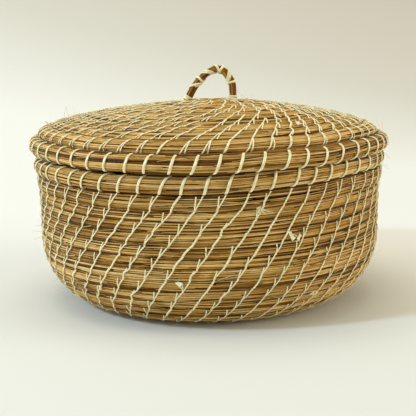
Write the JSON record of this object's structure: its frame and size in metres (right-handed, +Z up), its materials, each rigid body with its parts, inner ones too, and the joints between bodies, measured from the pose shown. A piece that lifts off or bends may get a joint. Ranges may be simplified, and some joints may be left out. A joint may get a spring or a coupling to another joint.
{
  "type": "coiled grass storage box",
  "caption": "Round lidded storage box coiled from grass bundles sewn with pale palm strip, with a domed lid and a wrapped loop handle",
  "frame": {"origin": "the middle of the bottom, on the surface the box stands on", "axes": "+Z up, -Y the side towards the viewer in the picture, +X along the handle to the right"},
  "size_m": [0.2401, 0.2375, 0.1575],
  "materials": {
    "grass_bundle": "dry straw-brown grass stems laid in bundles, dull",
    "palm_strip": "pale cream fibrous palm strip, dull with a faint sheen"
  },
  "bodies": {
    "basket": {"base_disc": "grass_bundle", "wall_coil": "grass_bundle"},
    "lid": {"lid_coil": "grass_bundle", "lid_collar": "grass_bundle", "collar_tie_01": "palm_strip", "collar_tie_02": "palm_strip", "collar_tie_03": "palm_strip", "collar_tie_04": "palm_strip", "collar_tie_05": "palm_strip", "collar_tie_06": "palm_strip", "collar_tie_07": "palm_strip", "collar_tie_08": "palm_strip", "collar_tie_09": "palm_strip", "handle_core": "grass_bundle", "handle_binding": "palm_strip", "handle_lashing_left": "palm_strip", "handle_lashing_right": "palm_strip", "handle_knot_left": "palm_strip", "handle_knot_right": "palm_strip"}
  },
  "joints": [
    {"name": "lid_lift", "type": "slide", "parent": "basket", "child": "lid", "axis": [0, 0, 1], "range_m": [0, 0.12]}
  ]
}
